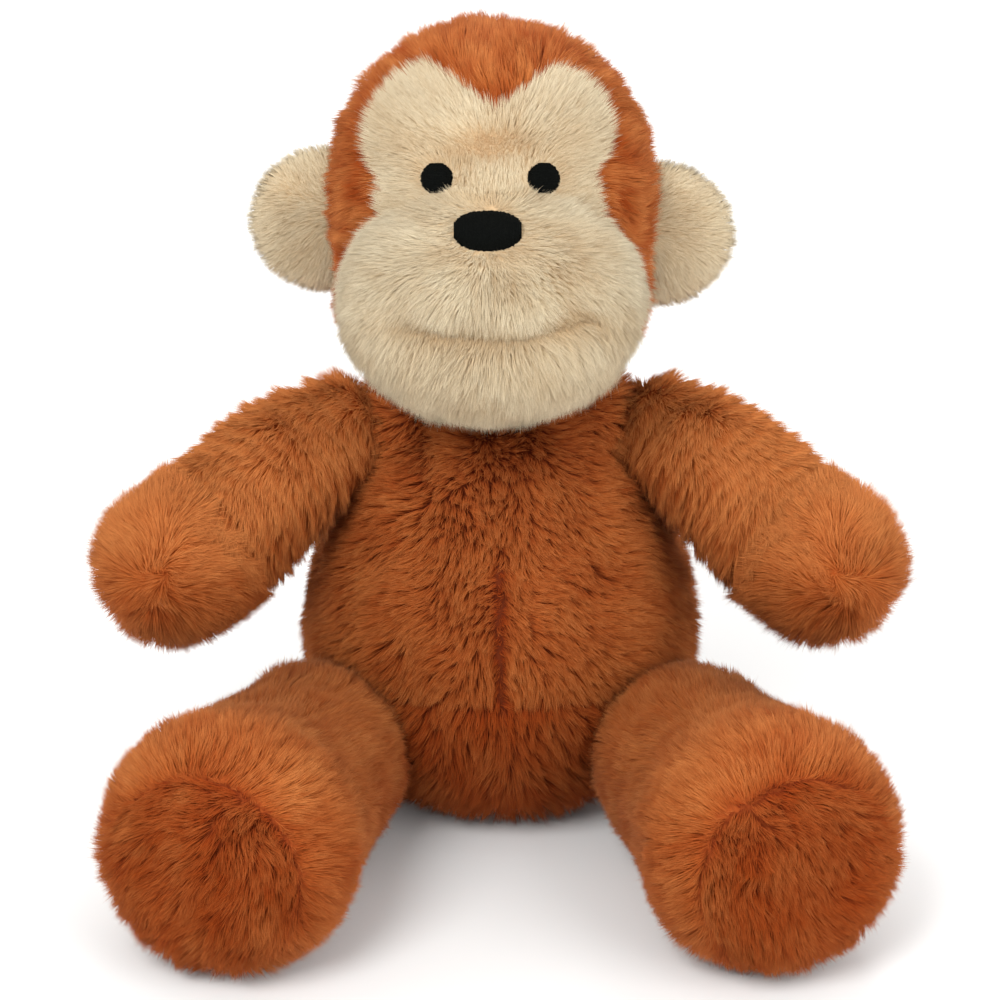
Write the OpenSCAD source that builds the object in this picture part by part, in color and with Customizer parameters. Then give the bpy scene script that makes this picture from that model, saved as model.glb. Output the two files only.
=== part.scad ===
// Seated stuffed monkey, long brown pile with a cream face and cream ears.
// +Z is up, the face looks along -Y, and the origin is the middle of the flat
// seat that the toy sits on. The toy's own left is +X.

/* [Torso] */
// Radius of the flat patch under the seat
seat_r = 29; // [26:1:31]
// Widest radius of the belly
belly_r = 63; // [60:0.5:64]
// Height of the top of the torso, where the neck is gathered
torso_h = 142; // [140:1:143]
// Thickness of fur fabric over the filling of the body and the head
cloth_t = 4.5; // [4:0.5:5]

/* [Head] */
// Radius of the round crown
crown_r = 50.5; // [49:0.5:52]
// Height of the crown's middle
crown_z = 210; // [209:1:213]
// Radius of the jaw below the crown
jaw_r = 47.5; // [45:0.5:48]
// Height of the jaw's middle
jaw_z = 192.5; // [192:0.5:195]
// Radius of the muzzle roll in side view
muzzle_r = 36.5; // [33:0.5:37]
// Half the muzzle's width from cheek to cheek
muzzle_w = 47; // [42:0.5:50]
// Height of the muzzle's middle
muzzle_z = 187; // [187:1:190]
// How far the muzzle's middle stands in front of the neck
muzzle_y = 44; // [42:1:46]
// Height of the mouth crease below the muzzle's middle
mouth_drop = 10; // [10:1:18]

/* [Ears] */
// Radius of an ear
ear_r = 22; // [18:0.5:23]
// Thickness of an ear at its middle
ear_t = 9; // [6:0.5:9]
// Height of the ears' middle
ear_z = 193; // [191:1:197]

/* [Eyes and nose] */
// Diameter of an eye
eye_d = 9.5; // [8:0.5:11]
// Distance of an eye from the middle of the face
eye_x = 17; // [16:0.2:19]
// Width of the nose
nose_w = 20; // [18:1:24]
// Height of the nose
nose_h = 13; // [11:1:14]

/* [Arms] */
// Reach of an arm from its seam to the tip of the hand
arm_l = 94; // [90:0.5:95]
// Thickness factor of an arm
arm_f = 1; // [0.9:0.02:1]

/* [Legs] */
// Reach of a leg from its seam to the sole
leg_l = 111; // [109:0.5:113]
// Thickness factor of a leg
leg_f = 1; // [0.9:0.02:1]
// Radius of a sole pad
sole_r = 30; // [26:1:32]

/* [Seam joints] */
// Radius of the head's gathered end in the neck seam
neck_knot = 14; // [12:0.5:14]
// Radius of an arm's gathered end in its shoulder seam
arm_knot = 13; // [11:0.5:13]
// Radius of a leg's gathered end in its hip seam
leg_knot = 18; // [16:0.5:18]
// Gap around the gathered end and around its seam ring
seam_gap = 0.4; // [0.35:0.05:0.5]

/* [Hidden] */
$fn = 64;

fur_brown = "#A65B2C";
fur_dark = "#8C481F";
fur_cream = "#E6D5B0";
black = "#14140F";
filling = "#F2EFE8";
thread = "#6E3A1B";
linen = "#D8D2C4";

free = 0.3;            // gap between the fabric and its filling
limb_t = 4;            // thickness of fur fabric over an arm or a leg
ring_t = 1;            // thickness of a seam ring
room = 2 * seam_gap + ring_t;   // what a seam ring and its gaps take
neck = [0, 0, 146];
shoulder = [50, -4, 125];
hand = [103, -38, 93];
hip = [54, -40.5, 30];
foot = [82.5, -119, 37];
crown = [0, 0, crown_z];
jaw = [0, -8, jaw_z];
snout = [0, -muzzle_y, muzzle_z];
look = 25;             // the face looks up by this angle

// radius and height down one side of the torso
torso_side = [[0, 0], [seat_r, 0], [40.5, 5], [49.5, 13.5], [57, 26], [62, 41], [belly_r, 53],
  [61.5, 66], [58.5, 80], [54, 93], [48.5, 107], [42.5, 119], [35, 129], [25.5, 137], [15, torso_h - 0.6], [10, torso_h], [0, torso_h]];
// radius and distance from the seam along an arm and a leg
function arm_side(f) = [[0, -arm_knot], [0.43 * arm_knot, -0.9 * arm_knot], [0.77 * arm_knot, -0.64 * arm_knot], [0.955 * arm_knot, -0.3 * arm_knot],
  [arm_knot, 0], [0.955 * arm_knot, 0.3 * arm_knot], [11, 8], [11.2, 11.5], [13.5 * f, 17], [16.6 * f, 24],
  [19 * f, 33], [20.4 * f, 43], [21.3 * f, 54], [22.6 * f, 63], [23 * f, arm_l - 23.3], [22 * f, arm_l - 16], [19 * f, arm_l - 9.3],
  [14.6 * f, arm_l - 4.3], [8.4 * f, arm_l - 1.2], [0, arm_l]];
function leg_side(f) = [[0, -leg_knot], [0.43 * leg_knot, -0.9 * leg_knot], [0.77 * leg_knot, -0.64 * leg_knot], [0.955 * leg_knot, -0.3 * leg_knot],
  [leg_knot, 0], [0.955 * leg_knot, 0.3 * leg_knot], [15.4, 10], [15, 15], [16.6 * f, 21], [20 * f, 28], [24 * f, 36], [27.6 * f, 45],
  [30.4 * f, 56], [33.4 * f, 67], [36 * f, 76], [37 * f, leg_l - 27], [36 * f, leg_l - 19], [33 * f, leg_l - 12],
  [28.3 * f, leg_l - 7], [22 * f, leg_l - 3.6], [14 * f, leg_l - 1.4], [0, leg_l]];
bag_side = [[0, 6], [30, 6], [38, 11], [41, 19], [38, 27], [27, 33], [0, 35]];

// the same outline taken in by t along its own normals
function taken_in(p, t) = [for (i = [0:len(p) - 1]) let (a = p[max(0, i - 1)], b = p[min(len(p) - 1, i + 1)], d = (b - a) / norm(b - a))
  [i == 0 || i == len(p) - 1 ? 0 : max(0, p[i][0] - t * d[1]), p[i][1] + t * d[0]]];

module turned(p) { rotate_extrude() polygon(p); }
module half(side) { translate([side > 0 ? 0 : -400, -400, -100]) cube([400, 800, 600]); }
module front() { translate([-400, -400, -100]) cube([800, 400, 600]); }
module back() { translate([-400, 0, -100]) cube([800, 400, 600]); }
module mirrored(side) { if (side > 0) children(); else mirror([1, 0, 0]) children(); }
// stands at a and points +Z at b
module aimed(a, b) {
  d = b - a;
  translate(a) rotate([0, acos(d[2] / norm(d)), atan2(d[1], d[0])]) children();
}
// the room that a gathered end and its ring need in the torso
module sockets(more = 0) {
  translate(neck) sphere(neck_knot + room + more);
  for (s = [-1, 1]) mirrored(s) {
    translate(shoulder) sphere(arm_knot + room + more);
    translate(hip) sphere(leg_knot + room + more);
  }
}
// the ring of stitches that holds a gathered end of radius r: a band behind its middle
module seam_ring(a, b, r, low = 6, high = 0) {
  color(thread) aimed(a, b) difference() {
    intersection() { sphere(r + seam_gap + ring_t); translate([-30, -30, -low]) cube([60, 60, low - high]); }
    sphere(r + seam_gap);
  }
}

// torso
module torso_shell() {
  difference() { turned(torso_side); turned(taken_in(torso_side, cloth_t)); sockets(); }
}
// everything under the slanted seam that runs from the belly down to the back
module under_seam() { translate([0, -60.5, 58]) rotate([-20.5, 0, 0]) translate([-200, -200, -200]) cube([400, 500, 200]); }
module torso_quarter(side) { difference() { intersection() { torso_shell(); half(side); children(); } under_seam(); } }
module torso_front_left() { color(fur_brown) torso_quarter(1) front(); }
module torso_front_right() { color(fur_brown) torso_quarter(-1) front(); }
module torso_back_left() { color(fur_brown) torso_quarter(1) back(); }
module torso_back_right() { color(fur_brown) torso_quarter(-1) back(); }
module seat_panel() { color(fur_dark) intersection() { torso_shell(); under_seam(); } }
module torso_filling() {
  color(filling) difference() { turned(taken_in(torso_side, cloth_t + free)); sockets(free); turned(taken_in(bag_side, -free)); }
}
module pellet_bag() { color(linen) difference() { turned(bag_side); turned(taken_in(bag_side, 1.2)); } }
module pellets() { color("#E9E6DC") turned(taken_in(bag_side, 1.8)); }
module neck_seam() { seam_ring(neck, neck + [0, 0, 10], neck_knot, 9, 5); }

// head
module head_ball(t = 0) { translate(crown) sphere(crown_r - t); translate(jaw) sphere(jaw_r - t); }
module neck_plug(t = 0) { translate(neck) sphere(neck_knot + t); }
module head_shell() { difference() { head_ball(); head_ball(cloth_t); neck_plug(free); } }
// the face's outline, two lobes over the eyes and a wide cheek below, drawn along the way the face looks
module mask_zone() {
  translate(crown) rotate([90 - look, 0, 0]) translate([0, 0, 20]) {
    for (s = [-1, 1]) translate([s * 19.5, 17, 0]) cylinder(r = 20.5, h = 70);
    translate([0, -12, 0]) cylinder(r = 37, h = 70);
  }
}
module hood(side) { color(fur_brown) mirrored(side) difference() { intersection() { head_shell(); half(1); } mask_zone(); } }
module hood_left() { hood(1); }
module hood_right() { hood(-1); }
module face_mask() { color(fur_cream) intersection() { head_shell(); mask_zone(); } }
// half an oval on the muzzle's cross axis
function oval(a, b) = [for (i = [0:24]) let (w = 180 * i / 24) [i == 0 || i == 24 ? 0 : b * sin(w), -a * cos(w)]];
module muzzle_roll(t) { translate(snout) rotate([0, 90, 0]) turned(oval(muzzle_w - t, muzzle_r - t)); }
module muzzle_shell() { difference() { muzzle_roll(0); muzzle_roll(cloth_t); head_ball(-free); } }
module below_mouth() { translate(snout) rotate([-look, 0, 0]) translate([-200, -200, -mouth_drop - 200]) cube([400, 400, 200]); }
module muzzle() { color(fur_cream) difference() { muzzle_shell(); below_mouth(); } }
module chin() { color(fur_cream) intersection() { muzzle_shell(); below_mouth(); } }
module head_filling() { color(filling) { head_ball(cloth_t + free); neck_plug(); } }
module muzzle_filling() { color(filling) difference() { muzzle_roll(cloth_t + free); head_ball(-2 * free); } }
// a low stitched pad on the crown's surface
module eye(side) {
  color(black) mirrored(side) intersection() {
    difference() { translate(crown) sphere(crown_r + 2.4); translate(crown) sphere(crown_r); }
    aimed(crown, crown + [eye_x, -43.5, 19.1]) translate([0, 0, crown_r - 6]) cylinder(d = eye_d, h = 12);
  }
}
module eye_left() { eye(1); }
module eye_right() { eye(-1); }
// the nose is a rounded bar on top of the muzzle's front
module nose() {
  color(black) difference() {
    translate([0, -59.9, 216.3]) rotate([40, 0, 0]) linear_extrude(height = 12, center = true)
      union() {
        for (s = [-1, 1]) translate([s * (nose_w - nose_h) / 2, 0]) circle(d = nose_h);
        square([nose_w - nose_h, nose_h], center = true);
      }
    head_ball(-0.1);
    muzzle_roll(-0.1);
  }
}

// ears: half of a round lens, flat where it is sewn on
function lens(r, t) = [for (i = [0:12]) let (w = 180 * i / 12) [i == 0 || i == 12 ? 0 : r * sin(w), -t / 2 * cos(w)]];
module ear_lens(t) {
  intersection() {
    translate([52, 2, ear_z]) rotate([90, 0, 0]) turned(lens(ear_r - t, ear_t - 2 * t));
    translate([52.5 + t, -50, 100]) cube([100, 100, 200]);
  }
}
module ear_front(side) { color(fur_cream) mirrored(side) intersection() { difference() { ear_lens(0); ear_lens(2.2); } translate([0, -98, 0]) cube([200, 100, 300]); } }
module ear_back(side) { color(fur_cream) mirrored(side) intersection() { difference() { ear_lens(0); ear_lens(2.2); } translate([0, 2, 0]) cube([200, 100, 300]); } }
module ear_wadding(side) { color(filling) mirrored(side) ear_lens(2.5); }
module ear_front_left() { ear_front(1); }
module ear_back_left() { ear_back(1); }
module ear_wadding_left() { ear_wadding(1); }
module ear_front_right() { ear_front(-1); }
module ear_back_right() { ear_back(-1); }
module ear_wadding_right() { ear_wadding(-1); }

// arms
module arm_body(t) { aimed(shoulder, hand) turned(taken_in(arm_side(arm_f), t)); }
// the half of a limb's space above its axis, or below it
module limb_half(a, b, up) { aimed(a, b) translate([up ? -200 : 0, -200, -50]) cube([200, 400, 300]); }
module arm_panel(side, up) {
  color(up ? fur_brown : fur_dark) mirrored(side)
    intersection() { difference() { arm_body(0); arm_body(limb_t); } limb_half(shoulder, hand, up); }
}
module arm_top_left() { arm_panel(1, true); }
module arm_under_left() { arm_panel(1, false); }
module arm_top_right() { arm_panel(-1, true); }
module arm_under_right() { arm_panel(-1, false); }
module arm_filling_left() { color(filling) arm_body(limb_t + free); }
module arm_filling_right() { color(filling) mirrored(-1) arm_body(limb_t + free); }
module shoulder_seam_left() { seam_ring(shoulder, hand, arm_knot); }
module shoulder_seam_right() { mirrored(-1) seam_ring(shoulder, hand, arm_knot); }

// legs
module leg_body(t) { aimed(hip, foot) turned(taken_in(leg_side(leg_f), t)); }
module leg_shell() { difference() { leg_body(0); leg_body(limb_t); } }
module sole_zone() { aimed(hip, foot) translate([0, 0, leg_l - 20]) cylinder(r = sole_r, h = 40); }
module leg_panel(side, up) {
  color(up ? fur_brown : fur_dark) mirrored(side)
    difference() { intersection() { leg_shell(); limb_half(hip, foot, up); } sole_zone(); }
}
module leg_top_left() { leg_panel(1, true); }
module leg_under_left() { leg_panel(1, false); }
module leg_top_right() { leg_panel(-1, true); }
module leg_under_right() { leg_panel(-1, false); }
module sole(side) { color(fur_brown) mirrored(side) intersection() { leg_shell(); sole_zone(); } }
module sole_left() { sole(1); }
module sole_right() { sole(-1); }
module leg_filling_left() { color(filling) leg_body(limb_t + free); }
module leg_filling_right() { color(filling) mirrored(-1) leg_body(limb_t + free); }
module hip_seam_left() { seam_ring(hip, foot, leg_knot); }
module hip_seam_right() { mirrored(-1) seam_ring(hip, foot, leg_knot); }

torso_front_left();
torso_front_right();
torso_back_left();
torso_back_right();
seat_panel();
torso_filling();
pellet_bag();
pellets();
neck_seam();
hood_left();
hood_right();
face_mask();
muzzle();
chin();
head_filling();
muzzle_filling();
eye_left();
eye_right();
nose();
ear_front_left();
ear_back_left();
ear_wadding_left();
ear_front_right();
ear_back_right();
ear_wadding_right();
shoulder_seam_left();
arm_top_left();
arm_under_left();
arm_filling_left();
shoulder_seam_right();
arm_top_right();
arm_under_right();
arm_filling_right();
hip_seam_left();
leg_top_left();
leg_under_left();
sole_left();
leg_filling_left();
hip_seam_right();
leg_top_right();
leg_under_right();
sole_right();
leg_filling_right();
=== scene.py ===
import bpy
import math
import numpy as np
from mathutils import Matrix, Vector
from mathutils.bvhtree import BVHTree
from mathutils.kdtree import KDTree


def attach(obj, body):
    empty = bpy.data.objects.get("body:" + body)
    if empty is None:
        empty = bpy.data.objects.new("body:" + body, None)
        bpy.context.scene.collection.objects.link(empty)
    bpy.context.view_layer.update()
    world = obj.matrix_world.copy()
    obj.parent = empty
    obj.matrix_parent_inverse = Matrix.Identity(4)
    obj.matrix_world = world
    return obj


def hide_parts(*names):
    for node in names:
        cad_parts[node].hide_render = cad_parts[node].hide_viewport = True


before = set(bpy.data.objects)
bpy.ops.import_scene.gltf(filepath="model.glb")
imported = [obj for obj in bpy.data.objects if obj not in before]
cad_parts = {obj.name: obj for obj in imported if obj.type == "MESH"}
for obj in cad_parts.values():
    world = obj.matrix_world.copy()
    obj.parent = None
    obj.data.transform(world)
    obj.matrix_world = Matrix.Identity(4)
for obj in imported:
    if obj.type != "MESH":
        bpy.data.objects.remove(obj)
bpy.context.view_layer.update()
bpy.context.scene.view_settings.view_transform = "Standard"
FUR = 1.0

# ------------------------------------------------------------------ small vector helpers (millimetres)
def unit(v):
    v = np.asarray(v, float)
    return v / np.maximum(np.linalg.norm(v, axis=-1, keepdims=True), 1e-9)


def dot(a, b):
    return (a * b).sum(-1)


def smooth(x, a, b):
    t = np.clip((x - a) / (b - a), 0, 1)
    return t * t * (3 - 2 * t)


def waves(seed, scale, n=9):
    """A smooth random field with features about scale across and a spread of about 1."""
    r = np.random.default_rng(seed)
    k = unit(r.normal(size=(n, 3))) * (2 * np.pi / scale) * r.uniform(0.6, 1.5, (n, 1))
    ph = r.uniform(0, 2 * np.pi, n)
    return lambda p: np.sin(p @ k.T + ph).sum(1) / math.sqrt(n / 2)


# ------------------------------------------------------------------ distance fields
def ball(p, c, r):
    return np.linalg.norm(p - np.asarray(c, float), axis=-1) - r


def ellipsoid(p, c, rad):
    q = p - np.asarray(c, float)
    rad = np.asarray(rad, float)
    k0 = np.linalg.norm(q / rad, axis=-1)
    k1 = np.linalg.norm(q / rad**2, axis=-1)
    return k0 * (k0 - 1) / np.maximum(k1, 1e-9)


def smin(a, b, k):
    h = np.clip(0.5 + 0.5 * (b - a) / k, 0, 1)
    return b * (1 - h) + a * h - k * h * (1 - h)


def catmull(points, n=5):
    """The same outline as a smooth curve, with n steps between two points."""
    p = np.array(points, float)
    p = np.vstack([2 * p[0] - p[1], p, 2 * p[-1] - p[-2]])
    out = []
    for i in range(1, len(p) - 2):
        for t in np.arange(n) / n:
            a, b, c, d = p[i - 1], p[i], p[i + 1], p[i + 2]
            out.append(0.5 * (2 * b + (c - a) * t + (2 * a - 5 * b + 4 * c - d) * t * t + (3 * b - a - 3 * c + d) * t**3))
    out.append(p[-2])
    out = np.array(out)
    out[:, 0] = np.maximum(out[:, 0], 0)
    out[[0, -1], 0] = 0
    return out


def outline(r, z, pts):
    """Signed distance in the half plane to an outline that starts and ends on the axis."""
    best = np.full(r.shape, 1e18)
    inside = np.zeros(r.shape, bool)
    for (r0, z0), (r1, z1) in zip(pts[:-1], pts[1:]):
        dr, dz = r1 - r0, z1 - z0
        t = np.clip(((r - r0) * dr + (z - z0) * dz) / max(dr * dr + dz * dz, 1e-12), 0, 1)
        best = np.minimum(best, (r - r0 - t * dr) ** 2 + (z - z0 - t * dz) ** 2)
        if z0 != z1:
            cross = ((z0 <= z) != (z1 <= z))
            inside ^= cross & (r < r0 + (z - z0) / (z1 - z0) * dr)
    d = np.sqrt(best)
    return np.where(inside, -d, d)


def nets(f, lo, hi, h):
    """A quad mesh on the surface f = 0, as (vertices, quads)."""
    lo, hi = np.array(lo, float), np.array(hi, float)
    n = np.ceil((hi - lo) / h).astype(int) + 1
    ax = [lo[i] + h * np.arange(n[i]) for i in range(3)]
    g = np.stack(np.meshgrid(*ax, indexing="ij"), -1)
    v = f(g.reshape(-1, 3)).reshape(n)
    ins = v < 0
    cells = n - 1
    total = np.zeros((*cells, 3))
    count = np.zeros(cells)
    for a in range(3):
        o = [i for i in range(3) if i != a]
        s0 = [slice(None)] * 3; s1 = [slice(None)] * 3
        s0[a] = slice(0, -1); s1[a] = slice(1, None)
        v0, v1 = v[tuple(s0)], v[tuple(s1)]
        cr = ins[tuple(s0)] != ins[tuple(s1)]
        t = np.where(cr, v0 / np.where(cr, v0 - v1, 1), 0)
        pt = g[tuple(s0)].copy()
        pt[..., a] += t * h
        pt *= cr[..., None]
        for i in (0, 1):
            for j in (0, 1):
                sl = [slice(None)] * 3
                sl[o[0]] = slice(i, i + cells[o[0]])
                sl[o[1]] = slice(j, j + cells[o[1]])
                total += pt[tuple(sl)]
                count += cr[tuple(sl)]
    act = count > 0
    ids = np.full(cells, -1)
    ids[act] = np.arange(act.sum())
    verts = total[act] / count[act][:, None]
    quads = []
    for a in range(3):
        b, c = (a + 1) % 3, (a + 2) % 3
        s0 = [slice(1, -1)] * 3; s1 = [slice(1, -1)] * 3
        s0[a] = slice(0, -1); s1[a] = slice(1, None)
        i0, i1 = ins[tuple(s0)], ins[tuple(s1)]
        w = np.argwhere(i0 != i1)
        flip = i1[tuple(w.T)]
        base = w.copy()
        base[:, b] += 1; base[:, c] += 1
        q = []
        for db, dc in ((-1, -1), (0, -1), (0, 0), (-1, 0)):
            m = base.copy()
            m[:, b] += db; m[:, c] += dc
            q.append(ids[tuple(m.T)])
        q = np.stack(q, 1)
        q[flip] = q[flip][:, ::-1]
        quads.append(q)
    quads = np.vstack(quads)
    e = 0.05
    nb = neighbours(quads, len(verts))
    for it in range(6):
        if it < 5:
            verts = 0.4 * verts + 0.6 * average(verts, nb)
        for _ in range(2):
            d = f(verts)
            gr = np.stack([f(verts + np.eye(3)[i] * e) - f(verts - np.eye(3)[i] * e) for i in range(3)], 1) / (2 * e)
            verts = verts - (np.clip(d, -1, 1) / np.maximum(dot(gr, gr), 0.1))[:, None] * gr
    return verts, quads


def neighbours(quads, n):
    e = np.vstack([quads[:, [0, 1]], quads[:, [1, 2]], quads[:, [2, 3]], quads[:, [3, 0]]])
    e = np.unique(np.sort(e, 1), axis=0)
    return e, np.bincount(e.ravel(), minlength=n)


def average(v, nb):
    e, deg = nb
    out = np.zeros_like(v)
    for i in range(v.shape[1]):
        out[:, i] = np.bincount(e[:, 0], v[e[:, 1], i], len(v)) + np.bincount(e[:, 1], v[e[:, 0], i], len(v))
    return out / np.maximum(deg, 1)[:, None]


def vertex_normals(v, q):
    n = np.cross(v[q[:, 2]] - v[q[:, 0]], v[q[:, 3]] - v[q[:, 1]])
    out = np.zeros_like(v)
    for c in range(4):
        for i in range(3):
            out[:, i] += np.bincount(q[:, c], n[:, i], len(v))
    return unit(out)


# ------------------------------------------------------------------ the toy's measures, as in the CAD
NECK = np.array([0, 0, 146.0])
SHOULDER, HAND = np.array([50, -4, 125.0]), np.array([103, -38, 93.0])
HIP, FOOT = np.array([54, -40.5, 30.0]), np.array([82.5, -119, 37.0])
CROWN, CROWN_R = np.array([0, 0, 210.0]), 50.5
JAW, JAW_R = np.array([0, -8, 192.5]), 47.5
SNOUT, SNOUT_RAD = np.array([0, -44, 187.0]), np.array([47, 36.5, 36.5])
EAR, EAR_R = np.array([52, 2, 193.0]), 22.0
ARM_L, LEG_L = 94.0, 111.0
LOOK = math.radians(25)
FACE_F = np.array([0, -math.cos(LOOK), math.sin(LOOK)])     # the way the face looks
FACE_U = np.array([0, math.sin(LOOK), math.cos(LOOK)])      # up along the face
DOWN = np.array([0, 0, -1.0])
X = np.array([1.0, 0, 0])
# how far the backing cloth lies inside the CAD's outside, with the pile on top of it
TORSO_IN, HEAD_IN, ARM_IN, LEG_IN, EAR_IN = 4.2, 4.2, 2.0, 1.1, 0.3

torso_side = catmull([[0, 0], [15, 0], [29, 0.3], [40.5, 5], [49.5, 13.5], [57, 26], [62, 41], [63, 53], [61.5, 66], [58.5, 80], [54, 93],
                      [48.5, 107], [42.5, 119], [35, 129], [25.5, 137], [15, 141.4], [7, 142], [0, 142]])
arm_side = catmull([[0, -14], [8, -13], [13.6, -9], [16.6, -3], [17.6, 4], [18.6, 11], [19.6, 18], [20.8, 26], [21.6, 34], [22, 43], [22.6, 54],
                    [23.2, 63], [23.2, 69], [22, 76], [19, 82.7], [14.6, 87.7], [8.4, 90.8], [0, 92]])
leg_side = catmull([[0, -20], [11, -18.5], [19, -12], [24, -3], [26, 6], [27, 15], [27.6, 24], [28.4, 33], [29.6, 44], [31.4, 56], [33.8, 67],
                    [36, 76], [37, LEG_L - 27], [36, LEG_L - 19], [33, LEG_L - 12], [28.3, LEG_L - 7], [22, LEG_L - 3.6],
                    [14, LEG_L - 1.4], [0, LEG_L]])


def limb_axes(a, b):
    z = unit(b - a)
    u = unit(np.array([0, 0, 1.0]) - z[2] * z)      # across the limb, upward
    return z, u, np.cross(z, u)


def torso_f(p):
    d = outline(np.hypot(p[:, 0], p[:, 1]), p[:, 2], torso_side)
    return smin(d, ball(np.abs(p) * [1, 0, 0] + p * [0, 1, 1], (31, -3, 128.5), 16.5), 8) + TORSO_IN


def arm_f(p):
    z, u, w = limb_axes(SHOULDER, HAND)
    q = p - SHOULDER
    s = q @ z
    q = q - (2.8 * smooth(s, -5, 15) * smooth(60 - s, 0, 40) + 1.2)[:, None] * u      # the upper line is the fuller one
    return outline(np.linalg.norm(q - s[:, None] * z, axis=1), s, arm_side) + ARM_IN


def leg_f(p):
    z, u, w = limb_axes(HIP, FOOT)
    q = p - HIP - (1.6 * u - 0.5 * w)
    s = q @ z
    d = outline(np.linalg.norm(q - s[:, None] * z, axis=1), s, leg_side) + LEG_IN
    return -smin(-d, p[:, 2] - 1.2, 1.5)


EYES = [unit(np.array([sx * 17.0, -43.5, 19.1])) * CROWN_R + CROWN for sx in (-1, 1)]
STITCHED = [EYES[0] + [0.3, 0, -1.9], EYES[1] + [-1.2, 0, -1.9]]     # where the stitches end up on the soft face
NOSE = np.array([0, -62.0, 218.8])
MOUTH = [(-36, 147.0), (-21, 142.6), (-12, 140.8), (0, 140.2), (9, 139.8), (17, 142.4), (26, 145.6), (36, 146.0)]   # across, and up along the face


def head_base(p):
    d = smin(ball(p, CROWN, CROWN_R), ball(p, JAW, JAW_R), 8)
    d = smin(d, ellipsoid(p, (0, -16, 178), (49.5, 30, 31)), 8)
    return smin(d, ellipsoid(p, SNOUT, SNOUT_RAD), 5) + HEAD_IN


def mouth_height(x):
    m = np.array(MOUTH)
    return np.interp(x, m[:, 0], m[:, 1])


def face_up(p):
    """Height as seen along the face's own direction."""
    return p @ FACE_U


def head_f(p):
    d = head_base(p)
    front = smooth((p - CROWN) @ FACE_F, 10, 30)
    for e in EYES:
        d = d + 2.2 * np.exp(-((ball(p, e + 3 * FACE_U, 0) / 9) ** 2))
    d = d + 1.4 * np.exp(-((ball(p, NOSE, 0) / 13) ** 2))
    up = face_up(p)
    bridge = np.hypot(p[:, 0] / 18, (up - 194.5) / 5.5)
    d = d + 2.8 * np.exp(-bridge**2) * front
    for a in (-19, 16):
        d = d + 1.2 * np.exp(-(np.hypot((p[:, 0] - a) / 7, (up - 197.5) / 5) ** 2)) * front
    lip = np.exp(-(((up - mouth_height(p[:, 0])) / 5.0) ** 2)) * smooth(36 - np.abs(p[:, 0] - 3), 0, 14)
    lip = lip + 0.2 * np.exp(-((p[:, 0] / 2.5) ** 2)) * smooth(up, 138, 146) * smooth(166 - up, 0, 6)
    return d + 4.8 * lip * front


def ear_f(p):
    q = p - EAR
    d = ellipsoid(p, EAR, (EAR_R, 4.8, EAR_R))
    cup = np.exp(-((np.hypot(q[:, 0] - 5, q[:, 2]) / 9) ** 2)) * (q[:, 1] < 0)
    return d + cup * 1.4 + EAR_IN


# ------------------------------------------------------------------ materials
def nodes_of(name):
    m = bpy.data.materials.new(name)
    m.use_nodes = True
    nt = m.node_tree
    return m, nt, nt.nodes["Principled BSDF"]


def ramp(nt, stops, fac, mode="EASE"):
    r = nt.nodes.new("ShaderNodeValToRGB")
    r.color_ramp.interpolation = mode
    while len(r.color_ramp.elements) < len(stops):
        r.color_ramp.elements.new(0.5)
    for e, (pos, col) in zip(r.color_ramp.elements, stops):
        e.position = pos
        e.color = (*[srgb(c) for c in col], 1)
    nt.links.new(fac, r.inputs[0])
    return r.outputs[0]


def srgb(c):
    c = c / 255
    return c / 12.92 if c <= 0.04045 else ((c + 0.055) / 1.055) ** 2.4


def mix(nt, fac, a, b, blend="MIX"):
    m = nt.nodes.new("ShaderNodeMix")
    m.data_type = "RGBA"
    m.blend_type = blend
    if isinstance(fac, (int, float)):
        m.inputs[0].default_value = fac
    else:
        nt.links.new(fac, m.inputs[0])
    for v, s in ((a, 6), (b, 7)):
        if isinstance(v, tuple):
            m.inputs[s].default_value = (*[srgb(c) for c in v], 1)
        else:
            nt.links.new(v, m.inputs[s])
    return m.outputs[2]


def fur_material(name, low, high, sheen, tint, rough=0.8):
    """Pile: the UV's v runs from a hair's root to its tip, and u from the deep shade to the light one. Along u the
    pieces set random tone and also painted light and shade. The dark roots stand partly for the pile's own darker roots
    and partly for painted shade deep in the pile.
    """
    m, nt, b = nodes_of(name)
    uv = nt.nodes.new("ShaderNodeUVMap"); uv.uv_map = "OFBake"
    sep = nt.nodes.new("ShaderNodeSeparateXYZ")
    nt.links.new(uv.outputs[0], sep.inputs[0])
    stretch = nt.nodes.new("ShaderNodeMapping"); stretch.inputs["Scale"].default_value = (160, 5, 1)
    nt.links.new(uv.outputs[0], stretch.inputs[0])
    streak = nt.nodes.new("ShaderNodeTexNoise"); streak.inputs["Scale"].default_value = 1; streak.inputs["Detail"].default_value = 3
    nt.links.new(stretch.outputs[0], streak.inputs["Vector"])
    dark = ramp(nt, low, sep.outputs[1])
    light = ramp(nt, high, sep.outputs[1])
    both = mix(nt, sep.outputs[0], dark, light)
    fine = ramp(nt, [(0.3, (226, 222, 218)), (0.7, (255, 255, 255))], streak.outputs[0])
    nt.links.new(mix(nt, 1.0, both, fine, "MULTIPLY"), b.inputs["Base Color"])
    b.inputs["Roughness"].default_value = rough
    b.inputs["Specular IOR Level"].default_value = 0.12
    b.inputs["Sheen Weight"].default_value = sheen
    b.inputs["Sheen Roughness"].default_value = 0.45
    b.inputs["Sheen Tint"].default_value = (*[srgb(c) for c in tint], 1)
    return m


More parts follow.
